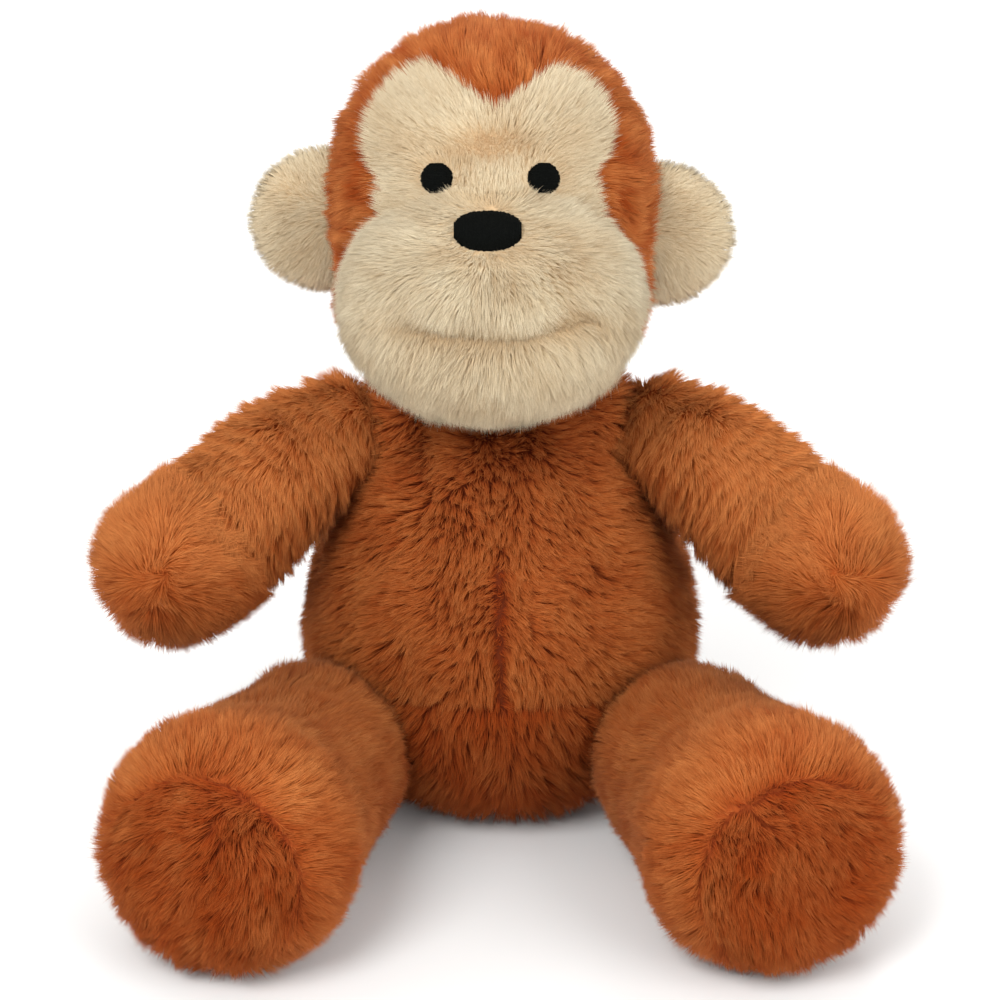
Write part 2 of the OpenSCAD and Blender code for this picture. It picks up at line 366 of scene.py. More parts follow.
BROWN = fur_material(
    "brown_pile",
    [(0.0, (76, 22, 4)), (0.2, (120, 42, 8)), (0.6, (156, 62, 14)), (1.0, (174, 76, 21))],
    [(0.0, (136, 60, 22)), (0.2, (170, 82, 32)), (0.6, (202, 112, 52)), (1.0, (222, 140, 78))],
    0.06, (255, 200, 150))
CREAM = fur_material(
    "cream_pile",
    [(0.0, (172, 118, 74)), (0.2, (194, 150, 104)), (0.6, (212, 180, 138)), (1.0, (222, 198, 160))],
    [(0.0, (222, 188, 144)), (0.2, (232, 205, 164)), (0.6, (241, 222, 186)), (1.0, (248, 234, 203))],
    0.04, (255, 248, 230))


def cloth_like(name, stops, scale, bump, rough, kind="noise"):
    m, nt, b = nodes_of(name)
    co = nt.nodes.new("ShaderNodeTexCoord")
    if kind == "cells":
        t = nt.nodes.new("ShaderNodeTexVoronoi"); t.inputs["Scale"].default_value = scale
    elif kind == "twist":
        t = nt.nodes.new("ShaderNodeTexWave"); t.inputs["Scale"].default_value = scale; t.inputs["Distortion"].default_value = 2
        t.bands_direction = "DIAGONAL"
    else:
        t = nt.nodes.new("ShaderNodeTexNoise"); t.inputs["Scale"].default_value = scale; t.inputs["Detail"].default_value = 6
        t.inputs["Distortion"].default_value = 1.5
    nt.links.new(co.outputs["Object"], t.inputs["Vector"])
    nt.links.new(ramp(nt, stops, t.outputs[0]), b.inputs["Base Color"])
    bm = nt.nodes.new("ShaderNodeBump"); bm.inputs["Strength"].default_value = bump; bm.inputs["Distance"].default_value = 0.001
    nt.links.new(t.outputs[0], bm.inputs["Height"])
    nt.links.new(bm.outputs[0], b.inputs["Normal"])
    b.inputs["Roughness"].default_value = rough
    return m


FILLING = cloth_like("fibre_filling", [(0.3, (214, 210, 200)), (0.7, (247, 245, 240))], 160, 0.9, 0.95)
THREAD = cloth_like("seam_thread", [(0.2, (70, 34, 16)), (0.8, (128, 74, 40))], 900, 0.7, 0.7, "twist")
LINEN = cloth_like("pellet_bag_cloth", [(0.2, (186, 178, 160)), (0.8, (224, 217, 202))], 700, 0.6, 0.9, "twist")
PELLETS = cloth_like("plastic_pellets", [(0.0, (240, 238, 230)), (0.6, (205, 202, 192))], 420, 1.0, 0.4, "cells")
BLACK = cloth_like("black_stitching", [(0.3, (3, 4, 3)), (0.7, (9, 11, 9))], 1400, 0.3, 0.95)
BLACK.node_tree.nodes["Principled BSDF"].inputs["Specular IOR Level"].default_value = 0.08

for name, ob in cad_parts.items():
    m = FILLING if ("filling" in name or "wadding" in name) else THREAD if "seam" in name else LINEN if name == "pellet_bag" else PELLETS if name == "pellets" else None
    if m:
        ob.data.materials.clear()
        ob.data.materials.append(m)


# ------------------------------------------------------------------ skins
class Skin:
    """A closed cloth surface: vertices, quads and vertex normals, in millimetres."""

    def __init__(self, f, lo, hi, h):
        self.v, self.q = nets(f, lo, hi, h)
        self.refresh()

    def refresh(self):
        self.n = vertex_normals(self.v, self.q)

    def mirrored(self):
        m = object.__new__(Skin)
        m.v = self.v * [-1, 1, 1]
        m.q = self.q[:, ::-1].copy()
        m.refresh()
        return m

    def puffed(self, label, cap, still=None, big=40.0):
        """Blows the cloth up from inside against its seams, which stay where they are sewn, with Blender's cloth simulation.
        The solver's springs suit furniture, so the little toy is simulated at big times its size."""
        lab = label(self.v[self.q].mean(1))
        lo, hi = np.full(len(self.v), 99), np.full(len(self.v), -99)
        for c in range(4):
            np.minimum.at(lo, self.q[:, c], lab)
            np.maximum.at(hi, self.q[:, c], lab)
        pin = lo != hi
        if still is not None:
            pin |= still(self.v)
        me = bpy.data.meshes.new("cloth")
        me.from_pydata((self.v * 0.001 * big).tolist(), [], self.q.tolist())
        ob = bpy.data.objects.new("cloth", me)
        bpy.context.scene.collection.objects.link(ob)
        ob.vertex_groups.new(name="sewn").add(np.flatnonzero(pin).tolist(), 1.0, "REPLACE")
        c = ob.modifiers.new("cloth", "CLOTH")
        c.settings.use_pressure = True
        c.settings.uniform_pressure_force = 4
        c.settings.vertex_group_mass = "sewn"
        c.settings.effector_weights.gravity = 0
        c.settings.quality = 5
        c.point_cache.frame_start, c.point_cache.frame_end = 1, 20
        for f in range(1, 21):
            bpy.context.scene.frame_set(f)
        got = ob.evaluated_get(bpy.context.evaluated_depsgraph_get()).to_mesh()
        new = np.empty(3 * len(self.v), np.float32)
        got.vertices.foreach_get("co", new)
        move = new.reshape(-1, 3) * (1000.0 / big) - self.v
        ob.to_mesh_clear()
        bpy.data.objects.remove(ob)
        bpy.data.meshes.remove(me)
        bpy.context.scene.frame_set(1)
        far = np.linalg.norm(move, axis=1)
        print("cloth: %d points, %d sewn, moves %.2f mm on average and %.2f at most before the cap" % (len(far), pin.sum(), far.mean(), far.max()))
        move *= (np.minimum(far, cap) / np.maximum(far, 1e-9))[:, None]
        self.v = self.v + np.nan_to_num(move)
        self.refresh()
        return self

    def areas(self):
        a, b, c, d = (self.v[self.q[:, i]] for i in range(4))
        return 0.5 * np.linalg.norm(np.cross(c - a, d - b), axis=1)

    def scatter(self, per_mm2, seed, weight=None):
        """Random points spread evenly over the skin: (points, normals, quad index)."""
        r = np.random.default_rng(seed)
        dens = self.areas() * per_mm2 * (1 if weight is None else weight)
        n = r.poisson(dens)
        qi = np.repeat(np.arange(len(self.q)), n)
        s, t = r.random(len(qi))[:, None], r.random(len(qi))[:, None]
        def at(x):
            k = self.q[qi]
            return (x[k[:, 0]] * (1 - s) * (1 - t) + x[k[:, 1]] * s * (1 - t) + x[k[:, 2]] * s * t + x[k[:, 3]] * (1 - s) * t)
        return at(self.v), unit(at(self.n)), qi


def grow(p, n, flow, style, seed):
    """One hair of pile, a slim three-sided spike, on each point. flow is the way it lies, and style its length, lean and so on, one value for each point."""
    r = np.random.default_rng(seed)
    k = len(p)
    t = unit(flow - dot(flow, n)[:, None] * n)
    swirl = style["swirl"] * waves(seed + 1, 26)(p) + style["stray"] * r.normal(size=k)
    c, s = np.cos(swirl)[:, None], np.sin(swirl)[:, None]
    t = c * t + s * np.cross(n, t)
    lift = style["lift"] + 0.10 * r.normal(size=k) + style["ruffle"] * waves(seed + 2, 15)(p)
    lay = style["lay"] + 0.08 * r.normal(size=k) + style["ruffle"] * waves(seed + 3, 15)(p)
    length = style["length"] * np.clip(1 + 0.13 * r.normal(size=k), 0.55, 1.4)
    d0 = np.cos(lift)[:, None] * t + np.sin(lift)[:, None] * n
    d1 = np.cos(lay)[:, None] * t + np.sin(lay)[:, None] * n
    mid = d0 * (length * 0.45)[:, None]
    tip = mid + d1 * (length * 0.55)[:, None]
    # tufts: every blade leans to the tip of its tuft's middle blade
    lead = r.random(k) < 1 / np.maximum(style["crowd"] * FUR, 1)
    lead[r.integers(0, k, 3)] = True
    li = np.flatnonzero(lead)
    tree = KDTree(len(li))
    for i, q in enumerate(p[li]):
        tree.insert(q, i)
    tree.balance()
    near = np.fromiter((tree.find(q)[1] for q in p), int, k)
    mine = li[near]
    pull = np.clip(style["tuft"] + 0.15 * r.normal(size=k), 0, 0.95)[:, None]
    tip = tip + (p[mine] + tip[mine] * (length / np.maximum(length[mine], 1e-6))[:, None] - p - tip) * pull
    mid = mid + (p[mine] + mid[mine] - p - mid) * pull * 0.45
    shade = np.clip(style["shade"] + 0.07 * r.normal(size=k) + 0.08 * r.normal(size=k)[mine] + 0.07 * waves(seed + 4, 22)(p), 0.02, 0.98)
    axis = unit(tip)
    side = unit(np.cross(axis, unit(n + 0.3 * r.normal(size=(k, 3)))))
    face = np.cross(axis, side)
    w = (style["width"] * r.uniform(0.75, 1.2, k) / math.sqrt(FUR))[:, None]
    g = unit(n + 0.12 * r.normal(size=(k, 3)) + style["bend"][:, None] * FACE_F)
    pts, soft = [], []
    for turn in (90, 210, 330):
        out = math.cos(math.radians(turn)) * side + math.sin(math.radians(turn)) * face
        pts.append(p - 0.35 * n + out * w * 0.62)
        soft.append(unit(g + 0.3 * out))
    return np.stack(pts + [p + tip], 1), np.stack(soft + [unit(g + 0.35 * axis)], 1), shade, style["root"]


def piece(name, parts, material, body, slot, replaces, fill, floor=0.4, shift=(0, 0, 0)):
    """One fur panel: cloth quads and hairs in one mesh, with the palette UV that the pile material reads."""
    verts, norms, uvs, loops, sizes, base = [], [], [], [], [], 0
    for skin, keep, (pts, soft, shade, low) in parts:
        q = skin.q[keep]
        used, inv = np.unique(q, return_inverse=True)
        q = inv.reshape(-1, 4)
        v = skin.v[used].copy()
        verts.append(v); norms.append(skin.n[used])
        loops.append((q + base).ravel()); sizes.append(np.full(len(q), 4))
        uvs.append(np.tile([0.4, 0.012 + (low.mean() if len(low) else 0)], (q.size, 1)) + np.random.default_rng(1).uniform(-0.01, 0.01, (q.size, 2)))
        base += len(v)
        k = len(pts)
        verts.append(pts.reshape(-1, 3)); norms.append(soft.reshape(-1, 3))
        first = base + 4 * np.arange(k)[:, None]
        loops.append((first + np.array([0, 1, 3, 1, 2, 3, 2, 0, 3])).ravel())
        sizes.append(np.full(3 * k, 3))
        u = np.clip(shade[:, None] + np.array([-1, 1, 0, 1, 0, 0, 0, -1, 0]) * 0.006, 0.001, 0.999)
        low = low[:, None]
        vv = low + (0.99 - low) * np.tile([0.0, 0.0, 1.0], (k, 3))
        uvs.append(np.stack([u, vv], 2).reshape(-1, 2))
        base += 4 * k
    verts, norms = np.vstack(verts), np.vstack(norms)
    uvs, loops, sizes = np.vstack(uvs), np.concatenate(loops), np.concatenate(sizes)
    verts = verts + np.array(shift, float)
    verts[:, 2] = np.maximum(verts[:, 2], floor)
    me = bpy.data.meshes.new(name)
    me.vertices.add(len(verts)); me.vertices.foreach_set("co", (verts * 0.001).astype(np.float32).ravel())
    me.loops.add(len(loops)); me.loops.foreach_set("vertex_index", loops.astype(np.int32))
    me.polygons.add(len(sizes))
    me.polygons.foreach_set("loop_start", np.concatenate([[0], np.cumsum(sizes)[:-1]]).astype(np.int32))
    me.uv_layers.new(name="OFBake").data.foreach_set("uv", uvs.astype(np.float32).ravel())
    me.update()
    me.attributes.new("custom_normal", "FLOAT_VECTOR", "POINT").data.foreach_set("vector", norms.astype(np.float32).ravel())
    me.materials.append(material)
    ob = bpy.data.objects.new(name, me)
    bpy.context.scene.collection.objects.link(ob)
    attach(ob, body)
    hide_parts(*replaces)
    return ob


def full(k, **over):
    base = dict(length=9.0, lift=0.95, lay=0.34, swirl=0.40, stray=0.18, ruffle=0.12, crowd=24.0, tuft=0.45, shade=0.40, width=0.29, root=0.03, bend=0.0)
    base.update(over)
    return {a: np.broadcast_to(np.asarray(b, float), (k,)).copy() for a, b in base.items()}


MOST = 62500           # hairs on one panel, so that its mesh stays under 200,000 triangles


def dress(skin, label, flow, style, density, seed, specs, skip=None):
    """Grows the whole skin's pile at once, so that tufts cross the seams, and cuts it into the panels in specs: {label: piece settings}."""
    centre = skin.v[skin.q].mean(1)
    faces = label(centre)
    area, share = skin.areas(), np.ones(len(skin.q))
    for lab in specs:
        on = faces == lab
        share[on] = min(1.0, MOST / (density * area[on].sum()))
    p, n, qi = skin.scatter(density * FUR, seed, share)
    if skip is not None:
        ok = ~skip(p)
        p, n, qi = p[ok], n[ok], qi[ok]
    grown = grow(p, n, flow(p, n), style(p, n), seed)
    own = label(p)
    made = []
    for lab, spec in specs.items():
        sel = own == lab
        made.append(piece(parts=[(skin, faces == lab, [g[sel] for g in grown])], **spec))
    return made


DENS = 6.0             # hairs on each square millimetre
HEAD_X = -2.5          # the head is sewn on a little to the toy's right

# ------------------------------------------------------------------ torso
SEAM_N = np.array([0, math.sin(math.radians(20.5)), math.cos(math.radians(20.5))])   # CAD's slanted seam
SEAM_P = np.array([0, -60.5, 58.0])


def torso_label(p):
    low = (p - SEAM_P) @ SEAM_N < 0
    return np.where(low, 4, (p[:, 0] > 0) * 1 + (p[:, 1] > 0) * 2)


def torso_flow(p, n):
    x = p[:, 0]
    front = smooth(-p[:, 1], -10, 25)
    over = np.tanh(x / 18) * (0.35 + 0.9 * smooth(np.abs(x), 5, 45)) * front
    low = smooth(-(p - SEAM_P) @ SEAM_N, -2, 4) * front
    over = over + 1.6 * np.sign(x) * np.exp(-(x / 3.5) ** 2) * front * smooth(110 - p[:, 2], 0, 12) * (1 - 0.9 * low)
    over = over + np.tanh(x / 12) * low * 0.9
    t = DOWN + over[:, None] * X
    top = smooth(n[:, 2], 0.35, 0.9)[:, None]
    t = t + top * unit(p * [1, 1, 0] + [0, -0.01, 0]) * 1.2
    mess = waves(41, 30)(p)[:, None] * X * 0.8 + waves(42, 30)(p)[:, None] * np.array([0, 0, 0.35])
    return t + mess * 0.35


def torso_style(p, n):
    seam = (p - SEAM_P) @ SEAM_N
    line = smooth(-p[:, 1], 20, 40) * smooth(108 - p[:, 2], 0, 12)
    # near and edge: along the belly's middle seam and the slanted seam the pile is shorter and painted darker, a
    # painted shade line in the seam's parting
    near = np.exp(-(p[:, 0] / 1.3) ** 2) * line * (seam > 0)
    edge = np.exp(-(seam / 1.8) ** 2) * smooth(-p[:, 1], 0, 30)
    low = (seam < 0) * 1.0
    hid = (n[:, 2] < -0.8) & (p[:, 2] < 8)
    return full(len(p), length=np.where(hid, 5, (7.6 + 0.4 * low) * (1 - 0.72 * near - 0.3 * edge)), shade=0.54 - 0.33 * low - 0.52 * near - 0.1 * edge,
                crowd=26, tuft=0.56, lift=1.18, lay=0.74 - 0.3 * near, swirl=0.36, stray=0.34, ruffle=0.16, root=0.02)


torso = Skin(torso_f, (-70, -70, -4), (70, 70, 148), 3.0).puffed(torso_label, 1.6, lambda p: (p[:, 2] < 5) | (p[:, 2] > 134))
dress(torso, torso_label, torso_flow, torso_style, DENS, 100, {
    0: dict(name="torso_front_right_fur", material=BROWN, body="torso", slot="fur_brown", replaces=["torso_front_right"], fill=0.7),
    1: dict(name="torso_front_left_fur", material=BROWN, body="torso", slot="fur_brown", replaces=["torso_front_left"], fill=0.7),
    2: dict(name="torso_back_right_fur", material=BROWN, body="torso", slot="fur_brown", replaces=["torso_back_right"], fill=0.7),
    3: dict(name="torso_back_left_fur", material=BROWN, body="torso", slot="fur_brown", replaces=["torso_back_left"], fill=0.7),
    4: dict(name="seat_panel_fur", material=BROWN, body="torso", slot="fur_brown", replaces=["seat_panel"], fill=0.7),
}, lambda p: (p[:, 2] < 5) & (np.random.default_rng(7).random(len(p)) < 0.6))


# ------------------------------------------------------------------ head
def face_xy(p):
    q = p - CROWN
    return q[:, 0], q @ FACE_U, q @ FACE_F


NOSE_U = float((NOSE - CROWN) @ FACE_U)


def head_label(p):
    x, u, f = face_xy(p)
    hb = np.minimum(np.minimum(ball(p, CROWN, CROWN_R), ball(p, JAW, JAW_R)), ellipsoid(p, (0, -16, 178), (49.5, 30, 31)))
    muzzle = (ellipsoid(p, SNOUT, SNOUT_RAD) < hb + 0.5) & (f > 0)
    peak = np.abs(x - 1.5) < 1.2 * (u - 15.5)
    lobes = (np.hypot(x + 15.7, u - 10.4) < 20.8) | (np.hypot(x - 17, u - 12.1) < 17.5)
    mask = ((lobes & ~peak) | (np.hypot(x + 0.8, u + 12) < 31.5) & (u < 12)) & (f > 12)
    chin = muzzle & (face_up(p) < mouth_height(x))
    lab = (x > 0) * 1
    lab = np.where(mask, 2, lab)
    lab = np.where(muzzle, 3, lab)
    return np.where(chin, 4, lab)


def head_flow(p, n):
    x, u, f = face_xy(p)
    lab = head_label(p)
    hood = -FACE_F[None] * smooth(f, -45, -5)[:, None] + DOWN * smooth(-f, 5, 45)[:, None] * 1.4 + (x / 60)[:, None] * X
    hood = hood + FACE_U * (smooth(u, 0, 40) * smooth(f, 0, 30) * 0.8)[:, None]
    brow = (x / 22)[:, None] * X + np.maximum((u + 2) / 22, -0.2)[:, None] * FACE_U + (0.25 + 0.7 * smooth(4 - u, 0, 8))[:, None] * FACE_U
    for e in STITCHED:
        brow = brow + 2.0 * unit(p - e) * np.exp(-((ball(p, e, 0) / 8) ** 2))[:, None]
    over = smooth(u, NOSE_U + 4, NOSE_U + 12)[:, None]                     # the roll above the nose
    muz = (x / 30 * 1.3)[:, None] * X + ((u - NOSE_U) / 30)[:, None] * FACE_U - 0.25 * FACE_U * (1 - over)
    muz = muz * (1 - over) + over * ((x / 40)[:, None] * X + 0.8 * FACE_U)
    chin = (x / 55)[:, None] * X - FACE_U[None]
    out = np.where((lab == 2)[:, None], unit(brow), hood)
    out = np.where((lab == 3)[:, None], unit(muz), out)
    return np.where((lab == 4)[:, None], unit(chin), out)


def head_style(p, n):
    lab = head_label(p)
    x, u, f = face_xy(p)
    k = len(p)
    brown = lab < 2
    front = smooth(f, 10, 30)
    up = face_up(p)
    eye = np.minimum(ball(p, STITCHED[0], 0), ball(p, STITCHED[1], 0))
    nose = np.hypot((x + 1.2) / 10.5, (u - NOSE_U + 1.6) / 7)
    short = np.minimum(smooth(eye, 4, 11), smooth(nose, 0.9, 1.8))
    # mouth: in the mouth's crease the pile is shorter and more upright, and painted darker in tone and at the roots:
    # painted shade in the crease
    mouth = np.exp(-(((up - mouth_height(x) - 0.5) / 3.6) ** 2)) * smooth(36 - np.abs(x - 4), 0, 16) * front
    # between the eyes the fuzz is short and painted darker in tone and at the roots: partly its own tan roots, partly
    # painted shade in the groove there
    root = np.exp(-(np.hypot(x / 13, (up - 195.5) / 6) ** 4)) * front                 # fuzz between the eyes
    # the roll above the nose is painted lighter: a painted highlight along its top
    ridge = np.exp(-(np.hypot(x / 22, (up - 184.5) / 4.2) ** 4)) * front              # the roll above the nose
    # a painted shadow of the brow in a dent above each eye
    brow_shadow = sum(np.exp(-(np.hypot((x - a) / 7, (up - 197.5) / 5) ** 2)) for a in (-19, 16)) * front
    stub = np.exp(-(np.hypot((x - 20) / 11, (up - 158) / 10) ** 2)) * front           # a stubbly patch beside the nose
    lip = np.exp(-(np.hypot((x - 2) / 9, (up - 155) / 9) ** 2)) * front               # channels under the nose
    # dark lines in the channels under the nose: painted shade
    channel_shade = np.maximum(0, np.sin(x * 1.35 + 0.6)) ** 3 * lip
    length = np.select([lab < 2, lab == 2, lab == 3], [7.6, 6.2, 7.6], 8.8)
    length = np.where(brown, length + 0.9 * waves(83, 8)(p), length * (0.42 + 0.58 * short) * (1 - 0.42 * mouth) * (1 - 0.6 * root) * (1 - 0.12 * ridge) * (1 - 0.4 * stub))
    mottle = waves(81, 13)(p)
    lump = waves(83, 8)(p)
    # round the stitched eyes and the nose the cream is painted darker: painted shade in the dents they sit in
    shade = np.where(brown, 0.47 + 0.17 * mottle + 0.14 * lump, 0.60 + 0.05 * mottle - 0.30 * (1 - smooth(eye, 5, 12)) - 0.30 * (1 - smooth(nose, 1, 1.8)) - 0.60 * mouth
                     + (0.19 + 0.08 * mottle) * (lab == 3) - 0.42 * root + 0.24 * ridge - 0.24 * brow_shadow - 0.34 * stub - 0.42 * channel_shade - 0.06 * (lab == 4))
    return full(k, length=length, shade=shade, crowd=np.where(brown, 34, 20), tuft=np.where(brown, 0.46, 0.26 + 0.12 * (lab == 4) + 0.2 * stub),
                swirl=np.where(brown, 0.42, 0.18), width=np.where(brown, 0.29, 0.24), stray=np.where(brown, 0.18, 0.24),
                lift=np.where(brown, 1.0, np.where(lab == 2, 1.15, 1.02) + 0.25 * root - 0.3 * (1 - short)),
                lay=np.where(brown, 0.46, np.where(lab == 2, 0.80, 0.50) + 0.3 * root + 0.1 * ridge + 0.3 * stub + 0.3 * mouth - 0.3 * (1 - short)),
                root=np.where(brown, 0.30, 0.46 - 0.34 * np.clip(root + 0.7 * mouth + stub, 0, 1)))


def face_skip(p):
    x, u, f = face_xy(p)
    eye = np.minimum(ball(p, STITCHED[0], 0), ball(p, STITCHED[1], 0))
    nose = np.hypot((x + 1.2) / 9.8, (u - NOSE_U + 1.6) / 5.6)
    return ((eye < 4.9) | (nose < 1)) & (f > 20)


def face_still(p):
    x, u, f = face_xy(p)
    eye = np.minimum(ball(p, EYES[0], 0), ball(p, EYES[1], 0))
    return ((eye < 5) | (ball(p, NOSE, 0) < 9)) & (f > 20) | (p[:, 2] < 152)


head = Skin(head_f, (-60, -88, 140), (60, 60, 268), 2.4).puffed(head_label, 1.5, face_still)
on_head = dict(body="head", fill=0.8, shift=(HEAD_X, 0, 0))
dress(head, head_label, head_flow, head_style, DENS * 1.3, 200, {
    0: dict(name="hood_right_fur", material=BROWN, slot="fur_brown", replaces=["hood_right"], **on_head),
    1: dict(name="hood_left_fur", material=BROWN, slot="fur_brown", replaces=["hood_left"], **on_head),
    2: dict(name="face_mask_fur", material=CREAM, slot="fur_cream", replaces=["face_mask"], **on_head),
    3: dict(name="muzzle_fur", material=CREAM, slot="fur_cream", replaces=["muzzle"], **on_head),
    4: dict(name="chin_fur", material=CREAM, slot="fur_cream", replaces=["chin"], **on_head),
}, face_skip)

# the fibre inside the head follows the cloth, so that the crease of the mouth can go deep
inside = bpy.data.meshes.new("head_fibre")
inside.from_pydata(((head.v - 1.8 * head.n + [HEAD_X, 0, 0]) * 0.001).tolist(), [], head.q.tolist())
inside.shade_smooth()
inside.materials.append(FILLING)
fibre = bpy.data.objects.new("head_fibre", inside)
bpy.context.scene.collection.objects.link(fibre)
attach(fibre, "head")
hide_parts("head_filling", "muzzle_filling")

# ------------------------------------------------------------------ ears, arms, legs, each made on the left and mirrored
AZ, AU, AW = limb_axes(SHOULDER, HAND)
LZ, LU, LW = limb_axes(HIP, FOOT)
SWIRL = SHOULDER + AZ * 80 + FACE_F * 21 + X * 3.5 - FACE_U * 4.4                 # where the hand's pile parts
SOLE = HIP + LZ * LEG_L + LU * 7.0


def ear_side(p):
    return (p[:, 1] > EAR[1]) * 1


def arm_side_of(p):
    return ((p - SHOULDER) @ AU > 0) * 1


def leg_side_of(p):
    q = p - HIP
    s = q @ LZ
    r = np.linalg.norm(q - s[:, None] * LZ, axis=1)
    return np.where((r < 30) & (s > LEG_L - 25), 2, (q @ LU > 0) * 1)


ear0 = Skin(ear_f, (28, -8, 168), (82, 12, 222), 1.8).puffed(ear_side, 0.6, lambda p: p[:, 0] < 40, 80.0)
arm0 = Skin(arm_f, (20, -80, 50), (140, 30, 165), 2.6).puffed(arm_side_of, 1.4, lambda p: (p - SHOULDER) @ AZ < 4, 70.0)
leg0 = Skin(leg_f, (10, -175, -6), (140, 5, 92), 3.0).puffed(leg_side_of, 1.6, lambda p: ((p - HIP) @ LZ < 6) | (p[:, 2] < 2.5), 60.0)

for side, sx, k in (("left", 1, 0), ("right", -1, 1)):
    M = np.array([sx, 1, 1.0])
    ear, arm, leg = (s if sx > 0 else s.mirrored() for s in (ear0, arm0, leg0))

    def ear_flow(p, n):
        q = (p * M - EAR) + np.array([8, 0, 0.0])
        return unit(q * np.array([1, 0, 1.0])) * M + 0.03 * X * sx

    def ear_style(p, n):
        # the ear is painted darker in its cup than at its rim: painted shade in the hollow
        rim = smooth(np.hypot((p * M - EAR)[:, 0], (p * M - EAR)[:, 2]), 8, 18)
        return full(len(p), length=5.2, shade=0.44 + 0.18 * rim, crowd=18, tuft=0.26, swirl=0.25, width=0.24, stray=0.24, lift=1.0, lay=0.5, root=0.5)

    on_ear = dict(material=CREAM, body=f"ear_{side}", slot="fur_cream", fill=0.4, shift=(HEAD_X, 0, 0.3 - 2.4 * sx))
    dress(ear, lambda p: ear_side(p), ear_flow, ear_style, DENS * 1.25, 300 + k, {
        0: dict(name=f"ear_front_{side}_fur", replaces=[f"ear_front_{side}"], **on_ear),
        1: dict(name=f"ear_back_{side}_fur", replaces=[f"ear_back_{side}"], **on_ear),
    })

    def arm_flow(p, n):
        q = p * M
        s = (q - SHOULDER) @ AZ
        crest = smooth((n * M) @ FACE_U, -0.1, 0.45)[:, None]
        root = -FACE_U * (1 - 0.5 * crest) + AZ * (0.15 + 0.45 * crest) + 0.25 * waves(61, 18)(p)[:, None] * AZ + crest * FACE_F * 0.6
        w = smooth(s, 53, 60)[:, None]
        mess = waves(63, 12)(q)[:, None] * X * 0.4 + waves(64, 12)(q)[:, None] * FACE_U * 0.4
        return (root * (1 - w) + (unit(q - SWIRL) + mess) * w) * M

    def arm_style(p, n):
        q = p * M
        s = (q - SHOULDER) @ AZ
        # up: arm pile facing upward is painted lighter in tone and at the roots, which is painted light from above; it
        # also lies flatter and in smaller tufts
        up = smooth(n[:, 2], -0.3, 0.7)
        hand = smooth(s, 53, 60)
        # at the swirl on the hand the pile is shorter and stands up, and is painted darker: painted shade in the hollow
        # where it parts
        eye = np.exp(-((ball(q, SWIRL, 0) / 8) ** 2))
        # ribs across the arm: the pile stands up and lies down in turn, and is painted lighter on the ridges and darker
        # in the troughs: painted light and shade on the ribs
        rib = np.sin(s / 5.2 * 2 * np.pi / 1.0 + 1.5 * waves(62, 30)(p)) * (1 - hand)
        crest = smooth((n * M) @ FACE_U, 0.1, 0.7) * (1 - 0.7 * hand)
        # under: painted shade on the arm's underside and, near the shoulder, towards the armpit
        under = smooth(-(n * M) @ FACE_U, 0.1, 0.9) * (1 - 0.6 * hand) + 0.6 * smooth(26 - s, 0, 22) * smooth(-(n * M) @ FACE_U, -0.5, 0.4)
        return full(len(p), length=(8.4 + 0.6 * hand) * (1 - 0.3 * eye), shade=0.70 + 0.24 * up - 0.12 * hand - 0.12 * eye + 0.20 * rib - 0.30 * under, crowd=34, bend=0.7 * crest,
                    tuft=(0.56 - 0.22 * hand) * (1 - 0.4 * up), swirl=0.20 + 0.2 * hand, stray=0.18, lift=0.95 + 0.22 * rib - 0.15 * up * (1 - hand) + 0.12 * hand - 0.2 * crest,
                    lay=0.32 + 0.15 * rib + 0.5 * eye + 0.16 * hand, root=0.32 + 0.22 * up)

    on_arm = dict(material=BROWN, body=f"arm_{side}", slot="fur_brown", fill=0.6)
    dress(arm, lambda p: arm_side_of(p * M), arm_flow, arm_style, DENS, 400 + k, {
        1: dict(name=f"arm_top_{side}_fur", replaces=[f"arm_top_{side}"], **on_arm),
        0: dict(name=f"arm_under_{side}_fur", replaces=[f"arm_under_{side}"], **on_arm),
    })

    def leg_flow(p, n):
        q = p * M
        s = (q - HIP) @ LZ
        off = q - HIP - s[:, None] * LZ
        lab = leg_side_of(q)
        around = unit(q - SOLE + LZ * 3)
        mess = waves(71, 13)(p)[:, None] * X * 0.8 + waves(72, 13)(p)[:, None] * FACE_U * 0.8
        sole = -FACE_U * 0.7 + X * 0.5 + mess * 0.35
        return np.where((lab == 2)[:, None], sole, around + 0.2 * DOWN * smooth(90 - s, 0, 30)[:, None]) * M

    def leg_style(p, n):
        q = p * M
        s = (q - HIP) @ LZ
        off = q - HIP - s[:, None] * LZ
        r = np.linalg.norm(off, axis=1)
        lab = leg_side_of(q)
        # up: leg pile facing upward is painted lighter: painted light from above
        up = smooth(n[:, 2], -0.2, 0.8)
        sole = lab == 2
        rim = smooth(r, 18, 34)
        # fold: in the fold round the sole's edge the pile is shorter and painted darker: painted shade in the fold
        fold = np.exp(-(((r - 30) / 2.2) ** 2)) * smooth(s, LEG_L - 26, LEG_L - 20) * up
        hid = (n[:, 2] < -0.7) & (q[:, 2] < 8)
        # towards the hip the leg's pile is painted darker: painted shade where the leg meets the body
        return full(len(p), length=np.where(hid, 4.5, np.where(sole, 7.8, 8.0)) * (1 - 0.25 * fold), shade=np.where(sole, 0.18 + 0.20 * rim, 0.39 + 0.24 * up + 0.10 * waves(73, 14)(p) - 0.22 * smooth(24 - s, 0, 24)) - 0.2 * fold,
                    crowd=np.where(sole, 30, 32), tuft=np.where(sole, 0.50, 0.42), swirl=np.where(sole, 0.4, 0.28), stray=np.where(sole, 0.34, 0.2),
                    lift=np.where(sole, 1.15, 0.95), lay=np.where(sole, 0.72, 0.34), root=np.where(sole, 0.16, 0.36))

